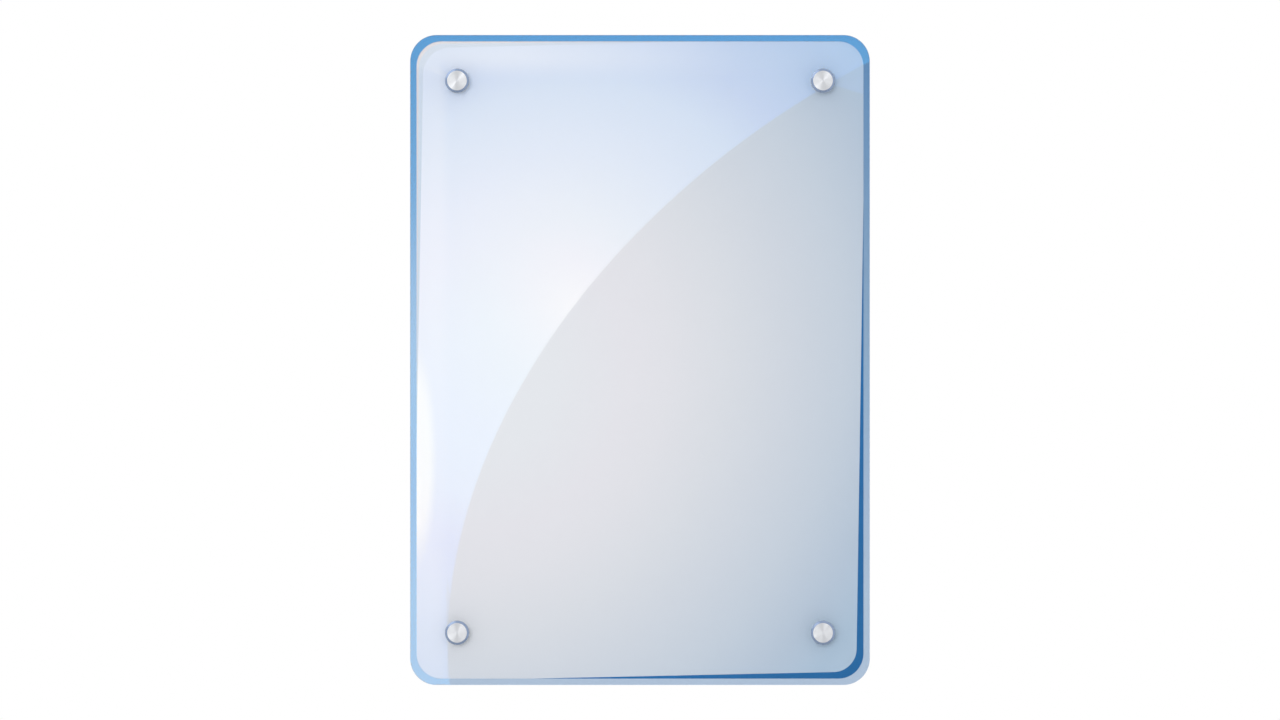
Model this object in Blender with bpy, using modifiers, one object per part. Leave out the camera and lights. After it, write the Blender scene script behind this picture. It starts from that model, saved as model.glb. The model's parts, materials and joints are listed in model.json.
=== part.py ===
"""Glass whiteboard, A2 portrait, held off the wall by four standoffs with screw caps.

The wall is the plane y = 0 and the board stands in front of it, towards -Y, with +X to the right and
+Z up. The origin is on the wall, behind the centre of the board. A depth below is a distance out from
the wall. Every round fixing piece is turned about the Z axis of an empty that points out of the wall.
"""

import math

import bmesh
import bpy

# Board, in metres
BOARD_WIDTH = 0.420
BOARD_HEIGHT = 0.594
CORNER_RADIUS = 0.024
GLASS_THICKNESS = 0.006
FRONT_ARRIS = 0.0005
RIM_WIDTH = 0.0056
RIM_DEPTH = 0.0030
RIM_CORNER_RADIUS = 0.023
FILM_THICKNESS = 0.0005
FILM_MARGIN = 0.0003
SHEET_THICKNESS = 0.0007
SHEET_MARGIN = 0.0040

# Where the fixings stand, from the edges of the glass
SIDE_INSET = 0.043
TOP_INSET = 0.042
BOTTOM_INSET = 0.048

# Barrel
BARREL_LENGTH = 0.020
BARREL_DIAMETER = 0.022
BARREL_CHAMFER = 0.0005
BARREL_WEB = 0.0035

# Cap
CAP_HEIGHT = 0.005
CAP_DIAMETER = 0.022
CAP_FACE_DIAMETER = 0.0178
CAP_BEVEL_DEPTH = 0.0016
CAP_BACK_CHAMFER = 0.0003
CAP_FRONT_WALL = 0.0015

# Stud, an M8 thread drawn at its full diameter, and the room left between its tip and the wall screw
STUD_DIAMETER = 0.008
STUD_TIP_GAP = 0.002
THREAD_PITCH = 0.00125

# Washers and the sleeve in each hole
WASHER_THICKNESS = 0.001
FRONT_WASHER_DIAMETER = 0.018
REAR_WASHER_DIAMETER = 0.020
SLEEVE_WALL = 0.0014

# Wall screw, pan head with a cross recess, and its plug
SCREW_DIAMETER = 0.0035
SCREW_LENGTH = 0.040
SCREW_POINT_LENGTH = 0.004
SCREW_HEAD_DIAMETER = 0.0066
SCREW_HEAD_HEIGHT = 0.0024
SCREW_HEAD_ROUND = 0.0010
RECESS_WIDTH = 0.0009
RECESS_SPAN = 0.0036
RECESS_DEPTH = 0.0013
PLUG_DIAMETER = 0.006
PLUG_LENGTH = 0.030
PLUG_RECESS = 0.0025
PLUG_TIP_TAPER = 0.0006
PLUG_SLOT_WIDTH = 0.0010

# Clearances: between faces that meet, round the turning stud, and how far a cutter runs past
SEAT_GAP = 0.0003
RUNNING_CLEARANCE = 0.0003
CUT_OVERRUN = 0.002

# Shares of the piece that carries them
THREAD_DEPTH_SHARE = 0.61
PLUG_SLOT_SHARE = 0.6
PLUG_TIP_LENGTH_SHARE = 0.15
POINT_WIDTH_SHARE = 0.12

# How finely round shapes are drawn
CORNER_STEPS = 12
WIDE_STEPS = 32
NARROW_STEPS = 24
THIN_STEPS = 16
SHARP_ANGLE = math.radians(30)
SMALLEST_MERGE = 0.00001

# Depths from the wall, each piece a seat gap in front of the one behind it
REAR_WASHER_DEPTH = BARREL_LENGTH + SEAT_GAP
SHEET_DEPTH = REAR_WASHER_DEPTH + WASHER_THICKNESS + SEAT_GAP
FILM_DEPTH = SHEET_DEPTH + SHEET_THICKNESS + SEAT_GAP
GLASS_DEPTH = FILM_DEPTH + FILM_THICKNESS + SEAT_GAP
FRONT_WASHER_DEPTH = GLASS_DEPTH + GLASS_THICKNESS + SEAT_GAP
CAP_DEPTH = FRONT_WASHER_DEPTH + WASHER_THICKNESS + SEAT_GAP
SOCKET_DEPTH = CAP_HEIGHT - CAP_FRONT_WALL
SCREW_DEPTH = BARREL_WEB + SEAT_GAP
STUD_DEPTH = SCREW_DEPTH + SCREW_HEAD_HEIGHT + STUD_TIP_GAP
STUD_LENGTH = CAP_DEPTH + SOCKET_DEPTH - SEAT_GAP - STUD_DEPTH
SLEEVE_LENGTH = GLASS_DEPTH + GLASS_THICKNESS - SHEET_DEPTH

# Radii that fit one piece to another
BORE_RADIUS = STUD_DIAMETER / 2 + RUNNING_CLEARANCE
SLEEVE_RADIUS = BORE_RADIUS + SLEEVE_WALL
HOLE_RADIUS = SLEEVE_RADIUS + SEAT_GAP
SCREW_HOLE_RADIUS = SCREW_DIAMETER / 2 + SEAT_GAP

# Name of each fixing, with its centre seen from the front
LEFT = SIDE_INSET - BOARD_WIDTH / 2
RIGHT = BOARD_WIDTH / 2 - SIDE_INSET
TOP = BOARD_HEIGHT / 2 - TOP_INSET
BOTTOM = BOTTOM_INSET - BOARD_HEIGHT / 2
FIXINGS = {
    "top_left": (LEFT, TOP),
    "top_right": (RIGHT, TOP),
    "bottom_left": (LEFT, BOTTOM),
    "bottom_right": (RIGHT, BOTTOM),
}


def clear_scene():
    """Remove every object that the file starts with."""
    for obj in list(bpy.data.objects):
        bpy.data.objects.remove(obj, do_unlink=True)


def new_collection(name):
    """Make a collection in the scene."""
    collection = bpy.data.collections.new(name)
    bpy.context.scene.collection.children.link(collection)
    return collection


def linear(hex_colour):
    """Turn an sRGB hex colour into linear RGBA."""
    channels = [int(hex_colour[i : i + 2], 16) / 255 for i in (1, 3, 5)]
    return [c / 12.92 if c <= 0.04045 else ((c + 0.055) / 1.055) ** 2.4 for c in channels] + [1.0]


def new_material(name, hex_colour, roughness, metallic=0.0, transmission=0.0):
    """Make a Principled material."""
    material = bpy.data.materials.new(name)
    material.use_nodes = True
    shader = material.node_tree.nodes["Principled BSDF"]
    shader.inputs["Base Color"].default_value = linear(hex_colour)
    shader.inputs["Roughness"].default_value = roughness
    shader.inputs["Metallic"].default_value = metallic
    shader.inputs["Transmission Weight"].default_value = transmission
    return material


def add_object(name, data, collection, material=None):
    """Put a mesh or a curve in the scene under its own name."""
    obj = bpy.data.objects.new(name, data)
    collection.objects.link(obj)
    if material and not data.materials:
        data.materials.append(material)
    return obj


def wall_empty(name, x, z, collection):
    """Make an empty on the wall whose Z axis points out of the wall, towards the viewer."""
    empty = bpy.data.objects.new(name, None)
    collection.objects.link(empty)
    empty.location = (x, 0.0, z)
    empty.rotation_euler = (math.pi / 2, 0.0, 0.0)
    return empty


def stand_on(obj, empty, depth):
    """Hang an object on an empty, this far out from the wall."""
    obj.parent = empty
    obj.location = (0.0, 0.0, depth)


def mesh_of(name, bm):
    """Turn a bmesh into a mesh, smooth on round faces and sharp at real edges."""
    bmesh.ops.recalc_face_normals(bm, faces=bm.faces)
    mesh = bpy.data.meshes.new(name)
    bm.to_mesh(mesh)
    bm.free()
    mesh.shade_smooth()
    mesh.set_sharp_from_angle(angle=SHARP_ANGLE)
    return mesh


def turned_mesh(name, profile, steps, ring=False):
    """Turn (radius, height) points, listed down the outer side, about Z. A ring's outline is closed."""
    outline = bpy.data.meshes.new(name + "_profile")
    count = len(profile)
    edges = [(i, i + 1) for i in range(count - 1)]
    if ring:
        edges.append((count - 1, 0))
    outline.from_pydata([(radius, 0.0, height) for radius, height in profile], edges, [])
    blank = bpy.data.objects.new(name + "_blank", outline)
    bpy.context.scene.collection.objects.link(blank)
    screw = blank.modifiers.new("turn", "SCREW")
    screw.axis = "Z"
    screw.steps = screw.render_steps = steps
    screw.use_merge_vertices = True
    screw.merge_threshold = SMALLEST_MERGE
    graph = bpy.context.evaluated_depsgraph_get()
    mesh = bpy.data.meshes.new_from_object(blank.evaluated_get(graph))
    mesh.name = name
    bpy.data.objects.remove(blank, do_unlink=True)
    bpy.data.meshes.remove(outline)
    mesh.shade_smooth()
    mesh.set_sharp_from_angle(angle=SHARP_ANGLE)
    return mesh


def ring_mesh(name, radius, length, steps):
    """Turn a plain ring that the stud passes through, standing on height zero."""
    profile = [(BORE_RADIUS, length), (radius, length), (radius, 0.0), (BORE_RADIUS, 0.0)]
    return turned_mesh(name, profile, steps, ring=True)


def rounded_outline(width, height, radius):
    """Give the points of a rectangle with round corners, counter-clockwise, centred on zero."""
    points = []
    for quarter, (side, end) in enumerate(((1, 1), (-1, 1), (-1, -1), (1, -1))):
        centre_x = side * (width / 2 - radius)
        centre_z = end * (height / 2 - radius)
        for step in range(CORNER_STEPS + 1):
            angle = (quarter + step / CORNER_STEPS) * math.pi / 2
            points.append((centre_x + radius * math.cos(angle), centre_z + radius * math.sin(angle)))
    return points


def circle_outline(x, z, radius, steps):
    """Give the points of a circle."""
    angles = [2 * math.pi * step / steps for step in range(steps)]
    return [(x + radius * math.cos(angle), z + radius * math.sin(angle)) for angle in angles]


def add_cutter(name, mesh, collection):
    """Make a cutter: it shapes other pieces and is not one itself."""
    cutter = add_object(name, mesh, collection)
    cutter.hide_render = True
    cutter.display_type = "WIRE"
    return cutter


def cut(obj, cutter):
    """Take a cutter's shape out of an object."""
    modifier = obj.modifiers.new("cut_" + cutter.name, "BOOLEAN")
    modifier.operation = "DIFFERENCE"
    modifier.object = cutter


def box_mesh(name, width, depth, height):
    """Make a box centred on zero."""
    bm = bmesh.new()
    bmesh.ops.create_cube(bm, size=1.0)
    bmesh.ops.scale(bm, verts=bm.verts, vec=(width, depth, height))
    return mesh_of(name, bm)


def cylinder_mesh(name, radius, length, steps):
    """Make a cylinder centred on zero, along Z."""
    bm = bmesh.new()
    bmesh.ops.create_cone(bm, cap_ends=True, segments=steps, radius1=radius, radius2=radius, depth=length)
    return mesh_of(name, bm)


def pane_mesh():
    """Loft the glass from its back to its front: a wide bevel at the back and a fine arris at the front."""
    inner = rounded_outline(BOARD_WIDTH - 2 * RIM_WIDTH, BOARD_HEIGHT - 2 * RIM_WIDTH, RIM_CORNER_RADIUS)
    outer = rounded_outline(BOARD_WIDTH, BOARD_HEIGHT, CORNER_RADIUS)
    front = rounded_outline(
        BOARD_WIDTH - 2 * FRONT_ARRIS, BOARD_HEIGHT - 2 * FRONT_ARRIS, CORNER_RADIUS - FRONT_ARRIS
    )
    sections = [
        (inner, 0.0),
        (outer, RIM_DEPTH),
        (outer, GLASS_THICKNESS - FRONT_ARRIS),
        (front, GLASS_THICKNESS),
    ]
    bm = bmesh.new()
    rings = [[bm.verts.new((x, z, height)) for x, z in outline] for outline, height in sections]
    count = len(outer)
    for below, above in zip(rings, rings[1:]):
        for i in range(count):
            j = (i + 1) % count
            bm.faces.new((below[i], below[j], above[j], above[i]))
    bm.faces.new(reversed(rings[0]))
    bm.faces.new(rings[-1])
    return mesh_of("glass_pane", bm)


def sheet_curve(name, margin, thickness):
    """Make a flat sheet behind the glass, this far inside the rim, with a hole at each fixing."""
    inset = 2 * (RIM_WIDTH + margin)
    outlines = [rounded_outline(BOARD_WIDTH - inset, BOARD_HEIGHT - inset, RIM_CORNER_RADIUS - margin)]
    outlines += [circle_outline(x, z, HOLE_RADIUS, WIDE_STEPS) for x, z in FIXINGS.values()]
    curve = bpy.data.curves.new(name, "CURVE")
    curve.dimensions = "2D"
    curve.fill_mode = "BOTH"
    curve.extrude = thickness / 2
    for outline in outlines:
        spline = curve.splines.new("POLY")
        spline.points.add(len(outline) - 1)
        for point, (x, z) in zip(spline.points, outline):
            point.co = (x, z, 0.0, 1.0)
        spline.use_cyclic_u = True
    return curve


def build_board(parts, cutters, finishes):
    """Make the glass, the film and the steel sheet, on one empty at the board's centre."""
    centre = wall_empty("board_centre", 0.0, 0.0, parts)
    pane = add_object("glass_pane", pane_mesh(), parts, finishes["glass"])
    stand_on(pane, centre, GLASS_DEPTH)
    drill = cylinder_mesh("hole_drill", HOLE_RADIUS, GLASS_THICKNESS + 2 * CUT_OVERRUN, WIDE_STEPS)
    for place, (x, z) in FIXINGS.items():
        cutter = add_cutter("hole_drill_" + place, drill, cutters)
        cutter.parent = centre
        cutter.location = (x, z, GLASS_DEPTH + GLASS_THICKNESS / 2)
        cut(pane, cutter)
    for name, margin, thickness, depth in (
        ("backing_film", FILM_MARGIN, FILM_THICKNESS, FILM_DEPTH),
        ("steel_sheet", SHEET_MARGIN, SHEET_THICKNESS, SHEET_DEPTH),
    ):
        sheet = add_object(name, sheet_curve(name, margin, thickness), parts, finishes[name])
        stand_on(sheet, centre, depth + thickness / 2)


def barrel_mesh():
    """Turn the barrel: bored from the front for the stud, with a web at the wall that the screw passes."""
    radius = BARREL_DIAMETER / 2
    profile = [
        (BORE_RADIUS, BARREL_LENGTH),
        (radius - BARREL_CHAMFER, BARREL_LENGTH),
        (radius, BARREL_LENGTH - BARREL_CHAMFER),
        (radius, BARREL_CHAMFER),
        (radius - BARREL_CHAMFER, 0.0),
        (SCREW_HOLE_RADIUS, 0.0),
        (SCREW_HOLE_RADIUS, BARREL_WEB),
        (BORE_RADIUS, BARREL_WEB),
    ]
    return turned_mesh("barrel", profile, WIDE_STEPS, ring=True)


def cap_mesh():
    """Turn the cap: a flat face inside a wide bevel, and a blind socket at the back for the stud."""
    radius = CAP_DIAMETER / 2
    profile = [
        (0.0, CAP_HEIGHT),
        (CAP_FACE_DIAMETER / 2, CAP_HEIGHT),
        (radius, CAP_HEIGHT - CAP_BEVEL_DEPTH),
        (radius, CAP_BACK_CHAMFER),
        (radius - CAP_BACK_CHAMFER, 0.0),
        (BORE_RADIUS, 0.0),
        (BORE_RADIUS, SOCKET_DEPTH),
        (0.0, SOCKET_DEPTH),
    ]
    return turned_mesh("cap", profile, WIDE_STEPS)


def stud_mesh():
    """Turn the stud, with each end bevelled by the depth of its thread."""
    radius = STUD_DIAMETER / 2
    bevel = THREAD_DEPTH_SHARE * THREAD_PITCH
    profile = [
        (0.0, STUD_LENGTH),
        (radius - bevel, STUD_LENGTH),
        (radius, STUD_LENGTH - bevel),
        (radius, bevel),
        (radius - bevel, 0.0),
        (0.0, 0.0),
    ]
    return turned_mesh("stud", profile, NARROW_STEPS)


def screw_mesh():
    """Turn the wall screw. Height zero is under its head, and its point is below, in the wall."""
    head = SCREW_HEAD_DIAMETER / 2
    shank = SCREW_DIAMETER / 2
    profile = [
        (0.0, SCREW_HEAD_HEIGHT),
        (head - SCREW_HEAD_ROUND, SCREW_HEAD_HEIGHT),
        (head, SCREW_HEAD_HEIGHT - SCREW_HEAD_ROUND),
        (head, 0.0),
        (shank, 0.0),
        (shank, SCREW_POINT_LENGTH - SCREW_LENGTH),
        (shank * POINT_WIDTH_SHARE, -SCREW_LENGTH),
        (0.0, -SCREW_LENGTH),
    ]
    return turned_mesh("wall_screw", profile, THIN_STEPS)


def plug_mesh():
    """Turn the wall plug. Height zero is its mouth, and its tapered tip is below, in the wall."""
    radius = PLUG_DIAMETER / 2
    profile = [
        (SCREW_HOLE_RADIUS, 0.0),
        (radius, 0.0),
        (radius, -PLUG_LENGTH * (1 - PLUG_TIP_LENGTH_SHARE)),
        (radius - PLUG_TIP_TAPER, -PLUG_LENGTH),
        (SCREW_HOLE_RADIUS, -PLUG_LENGTH),
    ]
    return turned_mesh("wall_plug", profile, THIN_STEPS, ring=True)


def fixing_pieces():
    """Give each fixing piece: its name, mesh, depth and finish."""
    front_washer = ring_mesh("front_washer", FRONT_WASHER_DIAMETER / 2, WASHER_THICKNESS, WIDE_STEPS)
    rear_washer = ring_mesh("rear_washer", REAR_WASHER_DIAMETER / 2, WASHER_THICKNESS, WIDE_STEPS)
    hole_sleeve = ring_mesh("hole_sleeve", SLEEVE_RADIUS, SLEEVE_LENGTH, NARROW_STEPS)
    return [
        ("cap", cap_mesh(), CAP_DEPTH, "cap"),
        ("stud", stud_mesh(), STUD_DEPTH, "stud"),
        ("front_washer", front_washer, FRONT_WASHER_DEPTH, "nylon"),
        ("hole_sleeve", hole_sleeve, SHEET_DEPTH, "nylon"),
        ("rear_washer", rear_washer, REAR_WASHER_DEPTH, "nylon"),
        ("barrel", barrel_mesh(), 0.0, "barrel"),
        ("wall_screw", screw_mesh(), SCREW_DEPTH, "screw"),
        ("wall_plug", plug_mesh(), -PLUG_RECESS, "plug"),
    ]


def cut_recess(screw, empty, cutters):
    """Cut the cross recess in the screw's head with two crossed boxes."""
    top = screw.location.z + SCREW_HEAD_HEIGHT
    height = RECESS_DEPTH + CUT_OVERRUN
    for way, size in (("across", (RECESS_SPAN, RECESS_WIDTH)), ("along", (RECESS_WIDTH, RECESS_SPAN))):
        name = f"recess_{way}_{empty.name}"
        cutter = add_cutter(name, box_mesh(name, *size, height), cutters)
        stand_on(cutter, empty, top - RECESS_DEPTH + height / 2)
        cut(screw, cutter)


def cut_slot(plug, empty, cutters):
    """Split the far end of the plug into two legs."""
    length = PLUG_SLOT_SHARE * PLUG_LENGTH
    height = length + CUT_OVERRUN
    name = f"plug_slot_{empty.name}"
    width = PLUG_DIAMETER + 2 * CUT_OVERRUN
    cutter = add_cutter(name, box_mesh(name, width, PLUG_SLOT_WIDTH, height), cutters)
    stand_on(cutter, empty, plug.location.z - PLUG_LENGTH + length - height / 2)
    cut(plug, cutter)


def build_fixings(parts, cutters, finishes):
    """Make the eight pieces of each fixing round one empty, which is its cap's axis."""
    pieces = fixing_pieces()
    for place, (x, z) in FIXINGS.items():
        empty = wall_empty("fixing_" + place, x, z, parts)
        made = {}
        for kind, mesh, depth, finish in pieces:
            made[kind] = add_object(f"{kind}_{place}", mesh, parts, finishes[finish])
            stand_on(made[kind], empty, depth)
        cut_recess(made["wall_screw"], empty, cutters)
        cut_slot(made["wall_plug"], empty, cutters)


def make_finishes():
    """Make every material, with its colour, roughness and metallic value."""
    return {
        "glass": new_material("blue_glass", "#8FBFE8", roughness=0.03, transmission=0.8),
        "backing_film": new_material("pale_film", "#E1E8F1", roughness=0.45),
        "steel_sheet": new_material("galvanised_steel", "#A9AFB6", roughness=0.40, metallic=1.0),
        "cap": new_material("turned_aluminium", "#E4E7EA", roughness=0.28, metallic=1.0),
        "barrel": new_material("satin_aluminium", "#C6CBD1", roughness=0.32, metallic=1.0),
        "stud": new_material("zinc_plated_steel", "#B4B8BC", roughness=0.35, metallic=1.0),
        "nylon": new_material("natural_nylon", "#EDEDE6", roughness=0.50),
        "screw": new_material("bright_zinc", "#C2C5C8", roughness=0.30, metallic=1.0),
        "plug": new_material("grey_nylon", "#9EA3A8", roughness=0.55),
    }


def main():
    clear_scene()
    parts = new_collection("glass_whiteboard")
    cutters = new_collection("cutters")
    finishes = make_finishes()
    build_board(parts, cutters, finishes)
    build_fixings(parts, cutters, finishes)


main()
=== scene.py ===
"""Looks of a glass whiteboard on four wall standoffs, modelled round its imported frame.

Everything is in metres, with +X to the right and +Z up as seen from the front. The wall is the plane
y = 0 and the board stands in front of it, towards -Y. A depth is a distance out from the wall, so y is
minus the depth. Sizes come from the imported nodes, and a size that those don't give is a field of the
class that makes the piece. A round piece is turned about the Y axis and then copied to its four places.
"""

import json
import logging
import math
from collections.abc import Callable, Sequence
from dataclasses import dataclass, replace
from enum import Enum
from functools import cache

import bmesh
import bpy
from mathutils import Matrix, Vector


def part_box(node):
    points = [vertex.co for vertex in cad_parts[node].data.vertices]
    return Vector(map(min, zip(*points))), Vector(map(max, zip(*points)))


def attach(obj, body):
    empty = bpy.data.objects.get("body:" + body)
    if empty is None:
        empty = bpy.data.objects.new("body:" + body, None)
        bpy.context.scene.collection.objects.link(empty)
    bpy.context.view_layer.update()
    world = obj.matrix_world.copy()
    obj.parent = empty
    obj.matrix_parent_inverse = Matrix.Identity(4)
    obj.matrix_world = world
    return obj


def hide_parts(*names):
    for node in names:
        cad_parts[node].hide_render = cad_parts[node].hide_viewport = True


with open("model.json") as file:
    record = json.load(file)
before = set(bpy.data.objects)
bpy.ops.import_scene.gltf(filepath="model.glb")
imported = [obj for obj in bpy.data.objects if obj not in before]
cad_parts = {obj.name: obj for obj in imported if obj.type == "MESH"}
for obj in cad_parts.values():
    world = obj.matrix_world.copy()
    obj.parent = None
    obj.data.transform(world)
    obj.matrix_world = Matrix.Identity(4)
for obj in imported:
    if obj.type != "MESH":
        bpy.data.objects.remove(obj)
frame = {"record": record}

MM = 0.001
TOUCH = 0.005 * MM
MERGE = TOUCH / 10
QUARTER_TURN = math.pi / 2
UNIT_WAVE = 2 * math.pi / 20  # spacing of a wave texture's bands at scale one
SMOOTH_ANGLE = math.radians(32)

Point = tuple[float, float]
Stop = tuple[float, str]
log = logging.getLogger("whiteboard")


class Place(Enum):
    """The four corners that the board is held at."""

    TOP_LEFT = "top_left"
    TOP_RIGHT = "top_right"
    BOTTOM_LEFT = "bottom_left"
    BOTTOM_RIGHT = "bottom_right"


class Part(Enum):
    """What the edit tools can select."""

    POINT = "VERT"
    EDGE = "EDGE"
    FACE = "FACE"


class Slot(Enum):
    """The record's material slots."""

    GLASS = "pane_glass"
    FILM = "backing_film"
    SHEET = "sheet_steel"
    CAP = "cap_metal"
    BARREL = "barrel_metal"
    STUD = "stud_steel"
    NYLON = "nylon"
    SCREW = "screw_steel"
    PLUG = "plug_plastic"


@dataclass(frozen=True)
class Extent:
    """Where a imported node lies, with its depths from the wall."""

    left: float
    right: float
    bottom: float
    top: float
    back: float
    front: float

    @classmethod
    def of(cls, node: str) -> "Extent":
        """Read a node's box from the frame.

        Args:
            node: Name of the node.

        Returns:
            The node's extent.
        """
        low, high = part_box(node)
        return cls(low.x, high.x, low.z, high.z, -high.y, -low.y)

    @property
    def radius(self) -> float:
        """Radius of a round node."""
        return (self.right - self.left) / 2

    @property
    def middle(self) -> Point:
        """Centre of the node, across and up."""
        return (self.left + self.right) / 2, (self.bottom + self.top) / 2

    def corners(self, inset: float = 0.0) -> list[Point]:
        """Give the node's four corners.

        Args:
            inset: How far each side is drawn in.

        Returns:
            The corners, counter-clockwise from the top left.
        """
        left, right = self.left + inset, self.right - inset
        bottom, top = self.bottom + inset, self.top - inset
        return [(left, top), (left, bottom), (right, bottom), (right, top)]


def linear(hex_colour: str) -> tuple[float, float, float, float]:
    """Turn an sRGB hex colour into linear RGBA.

    Args:
        hex_colour: A colour such as #8FBFE8.

    Returns:
        Linear red, green, blue and an alpha of one.
    """
    channels = [int(hex_colour[i : i + 2], 16) / 255 for i in (1, 3, 5)]
    red, green, blue = (c / 12.92 if c <= 0.04045 else ((c + 0.055) / 1.055) ** 2.4 for c in channels)
    return red, green, blue, 1.0


def add_node(
    owner: bpy.types.Material | bpy.types.World,
    kind: str,
    inputs: dict[str | int, object] | None = None,
    stops: Sequence[Stop] = (),
    **settings: object,
) -> bpy.types.Node:
    """Add a node, choose its settings, and set or link its inputs.

    Args:
        owner: The material or world that takes the node.
        kind: The node's type without its ShaderNode prefix, such as TexNoise.
        inputs: For an input's name or number, its value, or the socket or node that feeds it. A node
            feeds it from its first output.
        stops: Position and hex colour of each stop of a colour ramp, in order.
        **settings: Properties of the node itself.

    Returns:
        The new node.
    """
    tree = owner.node_tree
    node = tree.nodes.new("ShaderNode" + kind)
    for name, value in settings.items():
        setattr(node, name, value)
    for name, value in (inputs or {}).items():
        source = value.outputs[0] if isinstance(value, bpy.types.Node) else value
        if isinstance(source, bpy.types.NodeSocket):
            tree.links.new(source, node.inputs[name])
        else:
            node.inputs[name].default_value = source
    for index, (position, colour) in enumerate(stops):
        elements = node.color_ramp.elements
        element = elements[index] if index < len(elements) else elements.new(1.0)
        element.position, element.color = position, linear(colour)
    return node


def from_point(
    material: bpy.types.Material,
    centre: Point,
    radii: Point = (1.0, 1.0),
    tilt: float = 0.0,
    depth: float = 0.0,
) -> bpy.types.NodeSocket:
    """Give object coordinates measured from a point of the board, along the radii of an oval.

    Args:
        material: The material that reads them.
        centre: The point, across and up.
        radii: Lengths that count as one, across and up.
        tilt: How far those two directions are turned, clockwise from the front.
        depth: The point's distance out from the wall.

    Returns:
        The socket that gives the coordinates.
    """
    (x, z), (across, up) = centre, radii
    place = {
        "Vector": add_node(material, "TexCoord").outputs["Object"],
        "Location": (x, -depth, z),
        "Rotation": (0.0, tilt, 0.0),
        "Scale": (across, 1.0, up),
    }
    return add_node(material, "Mapping", place, vector_type="TEXTURE").outputs["Vector"]


def mottle(
    material: bpy.types.Material,
    colour: bpy.types.Node,
    where: bpy.types.NodeSocket,
    size: float,
    amount: float,
) -> bpy.types.Node:
    """Make a colour a little lighter and darker in a fine grain.

    Args:
        material: The material that takes the grain.
        colour: The node that gives the plain colour.
        where: Object coordinates.
        size: Size of the grain.
        amount: How much lighter or darker it gets, as a share.

    Returns:
        The node that gives the varied colour.
    """
    grain = add_node(material, "TexNoise", {"Vector": where, "Scale": 1 / size, "Detail": 3.0})
    shade = add_node(material, "MapRange", {"Value": grain, "To Min": 1 - amount, "To Max": 1 + amount})
    return add_node(material, "VectorMath", {0: colour, "Scale": shade}, operation="SCALE")


@dataclass(frozen=True)
class Finish:
    """The finish of one surface. Each kind of finish adds its own nodes.

    Attributes:
        name: Name of its material.
    """

    name: str

    def shader(self, made: bpy.types.Material) -> bpy.types.Node:
        """Add the finish's nodes to its material, and give the one that makes the surface."""
        raise NotImplementedError

    def at(self, place: Place, centre: Point) -> "Finish":
        """Give the finish for a copy at one corner. Most finishes are the same at all four."""
        return self

    @cache
    def material(self) -> bpy.types.Material:
        """Make the material the first time, and give the same one after that.

        Returns:
            The material.
        """
        made = bpy.data.materials.new(self.name)
        made.use_nodes = True
        made.node_tree.nodes.clear()
        add_node(made, "OutputMaterial", {"Surface": self.shader(made)})
        return made


@dataclass(frozen=True)
class FloatGlass(Finish):
    """Toughened low-iron float glass, polished: it shows as sharp reflections over what lies behind it.

    The rollers of the furnace leave it very faintly wavy. Shadow and diffuse rays pass straight through,
    so that lamps light what is behind it.
    """

    tint: str = "#FEFEFF"
    ior: float = 1.52
    wave_size: float = 150 * MM
    wave_height: float = 0.004 * MM

    def shader(self, made: bpy.types.Material) -> bpy.types.Node:
        """Add clear glass, which isn't there for shadow and diffuse rays.

        Args:
            made: The material that takes the nodes.

        Returns:
            The node that gives the surface.
        """
        where = add_node(made, "TexCoord").outputs["Object"]
        waves = add_node(made, "TexNoise", {"Vector": where, "Scale": 1 / self.wave_size, "Detail": 1.0})
        gloss = {
            "Base Color": linear(self.tint),
            "Roughness": 0.0,
            "IOR": self.ior,
            "Transmission Weight": 1.0,
            "Normal": add_node(made, "Bump", {"Height": waves, "Distance": self.wave_height}),
        }
        glass = add_node(made, "BsdfPrincipled", gloss)
        path = add_node(made, "LightPath").outputs
        lamps = {0: path["Is Shadow Ray"], 1: path["Is Diffuse Ray"]}
        passing = add_node(made, "Math", lamps, operation="MAXIMUM")
        clear = add_node(made, "BsdfTransparent")
        return add_node(made, "MixShader", {"Fac": passing, 1: glass, 2: clear})


@dataclass(frozen=True)
class EnamelWithPaintedReflection(Finish):
    """Ceramic enamel fired on the glass: an opaque satin blue, finely mottled. Its fade from deep blue at the
    top of the board to pale blue at the bottom is painted reflection.

    Attributes:
        low: Height of the board's lower edge, where the colours start.
        high: Height of its upper edge, where they end.
    """

    low: float
    high: float
    # painted reflection: the blue deepens from the board's bottom edge to its top edge
    stops: tuple[Stop, ...] = (
        (0.00, "#AEC1D7"),
        (0.13, "#ADC2D7"),
        (0.29, "#A1B7D1"),
        (0.44, "#93AFCB"),
        (0.56, "#89A6C3"),
        (0.81, "#7195BB"),
        (0.96, "#628BB6"),
        (1.00, "#5E8CBB"),
    )
    mottle_size: float = 2.5 * MM
    mottle: float = 0.03

    def shader(self, made: bpy.types.Material) -> bpy.types.Node:
        """Add the satin blue, with its painted reflection by height.

        Args:
            made: The material that takes the nodes.

        Returns:
            The node that gives the surface.
        """
        where = add_node(made, "TexCoord").outputs["Object"]
        up = add_node(made, "SeparateXYZ", {"Vector": where}).outputs["Z"]
        height = add_node(made, "MapRange", {"Value": up, "From Min": self.low, "From Max": self.high})
        colour = add_node(made, "ValToRGB", {"Fac": height}, self.stops)
        mottled = mottle(made, colour, where, self.mottle_size, self.mottle)
        enamel = {"Base Color": mottled, "Roughness": 0.45, "Specular IOR Level": 0.15}
        return add_node(made, "BsdfPrincipled", enamel)


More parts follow.
